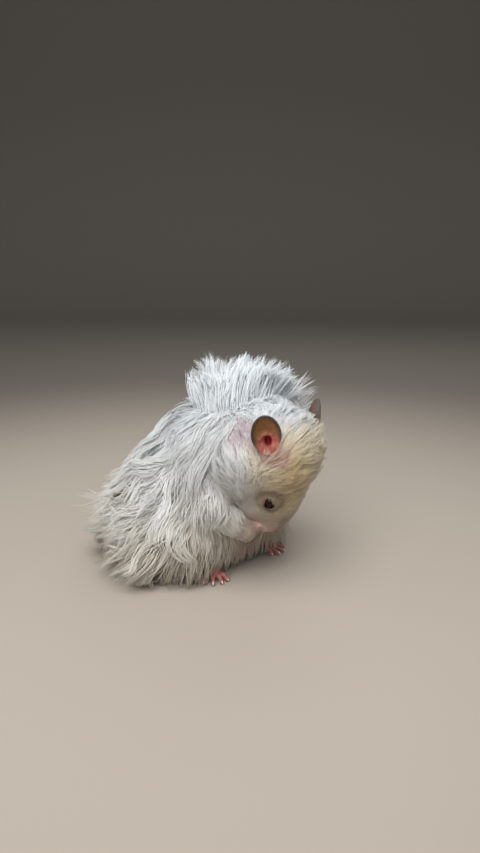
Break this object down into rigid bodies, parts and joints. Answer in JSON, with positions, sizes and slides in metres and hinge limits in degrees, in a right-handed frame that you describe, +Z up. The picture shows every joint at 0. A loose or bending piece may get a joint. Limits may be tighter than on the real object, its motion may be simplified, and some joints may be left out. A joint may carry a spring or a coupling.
{
  "type": "syrian hamster",
  "caption": "Long-haired white Syrian hamster that sits hunched with its head bowed and both forepaws at its muzzle, a still life-size model",
  "frame": {"origin": "on the floor, on the flat that the rump sits on, on the body's midline", "axes": "+X to the animal's left, +Y to its rear, +Z up; it faces -Y"},
  "size_m": [0.0966, 0.1023, 0.086],
  "materials": {
    "coat_white": "long soft white hair in fine curled locks",
    "coat_cream": "short soft cream-tinted hair",
    "bare_skin": "thin pink skin, slightly moist",
    "ear_skin": "thin dark skin, pink inside, with fine down",
    "eye": "wet dark gloss"
  },
  "bodies": {
    "root": {"neck": "coat_white", "back": "coat_white", "chest": "coat_white", "upper_arm_right": "coat_white", "upper_arm_left": "coat_white", "thigh_right": "coat_white", "thigh_left": "coat_white", "belly": "coat_white", "rump": "coat_white", "head": "coat_cream", "forearm_right": "coat_cream", "forearm_left": "coat_cream", "nose": "bare_skin", "forepaw_right": "bare_skin", "forepaw_left": "bare_skin", "hind_foot_right": "bare_skin", "hind_foot_left": "bare_skin", "tail": "bare_skin", "ear_right": "ear_skin", "ear_left": "ear_skin", "eye_right": "eye", "eye_left": "eye"}
  },
  "joints": []
}
